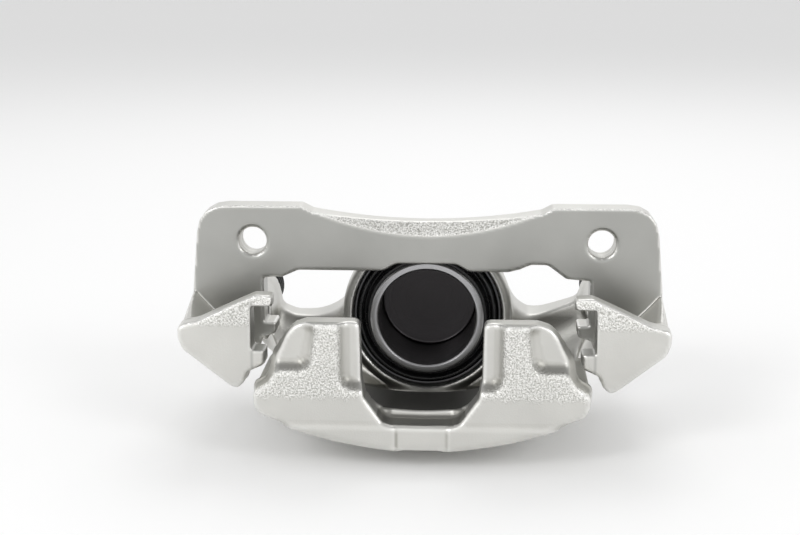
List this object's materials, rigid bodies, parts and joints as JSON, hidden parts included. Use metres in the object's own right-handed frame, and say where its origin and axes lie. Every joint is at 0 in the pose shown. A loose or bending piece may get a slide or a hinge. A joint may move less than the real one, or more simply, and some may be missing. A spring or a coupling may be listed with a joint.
{
  "type": "disc brake caliper",
  "caption": "Single-piston floating disc brake caliper with carrier bracket, guide bolts, dust boots, bleeder and hose inlet.",
  "frame": {"origin": "midway between the two bracket bolt holes, on the inboard mounting face of the bracket", "axes": "+X along the bolt line, +Y inboard and out of the mounting face, +Z towards the disc centre"},
  "size_m": [0.219, 0.153, 0.1068],
  "materials": {
    "cast_zinc": "zinc plated ductile iron casting, shot blasted where it is left rough, finely machined on the mounting faces",
    "turned_steel": "turned and ground steel",
    "zinc_steel": "zinc plated steel hardware",
    "dark_steel": "dark spring steel",
    "rubber_black": "moulded black rubber, slightly satin"
  },
  "bodies": {
    "bracket": {"bracket_casting": "cast_zinc", "guide_bolt_left": "zinc_steel", "guide_bolt_right": "zinc_steel", "guide_washer_left": "zinc_steel", "guide_washer_right": "zinc_steel", "guide_sleeve_left": "turned_steel", "guide_sleeve_right": "turned_steel"},
    "caliper": {"caliper_housing": "cast_zinc", "bushing_left": "rubber_black", "bushing_right": "rubber_black", "wiper_ring_left": "rubber_black", "wiper_ring_right": "rubber_black", "guide_boot_left": "rubber_black", "guide_boot_right": "rubber_black", "piston_seal": "rubber_black", "piston_boot": "rubber_black", "boot_retaining_ring": "dark_steel"},
    "piston": {"piston": "turned_steel"},
    "bleeder": {"bleeder_screw": "zinc_steel"},
    "cap": {"bleeder_cap": "rubber_black"}
  },
  "joints": [
    {"name": "caliper_slide", "type": "slide", "parent": "bracket", "child": "caliper", "axis": [0, 1, 0], "range_m": [-0.002, 0.01], "deforming": ["guide_boot_left", "guide_boot_right"]},
    {"name": "piston_slide", "type": "slide", "parent": "caliper", "child": "piston", "axis": [0, -1, 0], "range_m": [0, 0.022], "deforming": ["piston_boot"]},
    {"name": "bleeder_turn", "type": "hinge", "parent": "caliper", "child": "bleeder", "pos_m": [-0.021, 0.07, -0.018], "axis": [0, 1, 0], "range_deg": [0, 180]},
    {"name": "bleeder_cap_pull", "type": "slide", "parent": "bleeder", "child": "cap", "axis": [0, 1, 0], "range_m": [0, 0.014]}
  ]
}
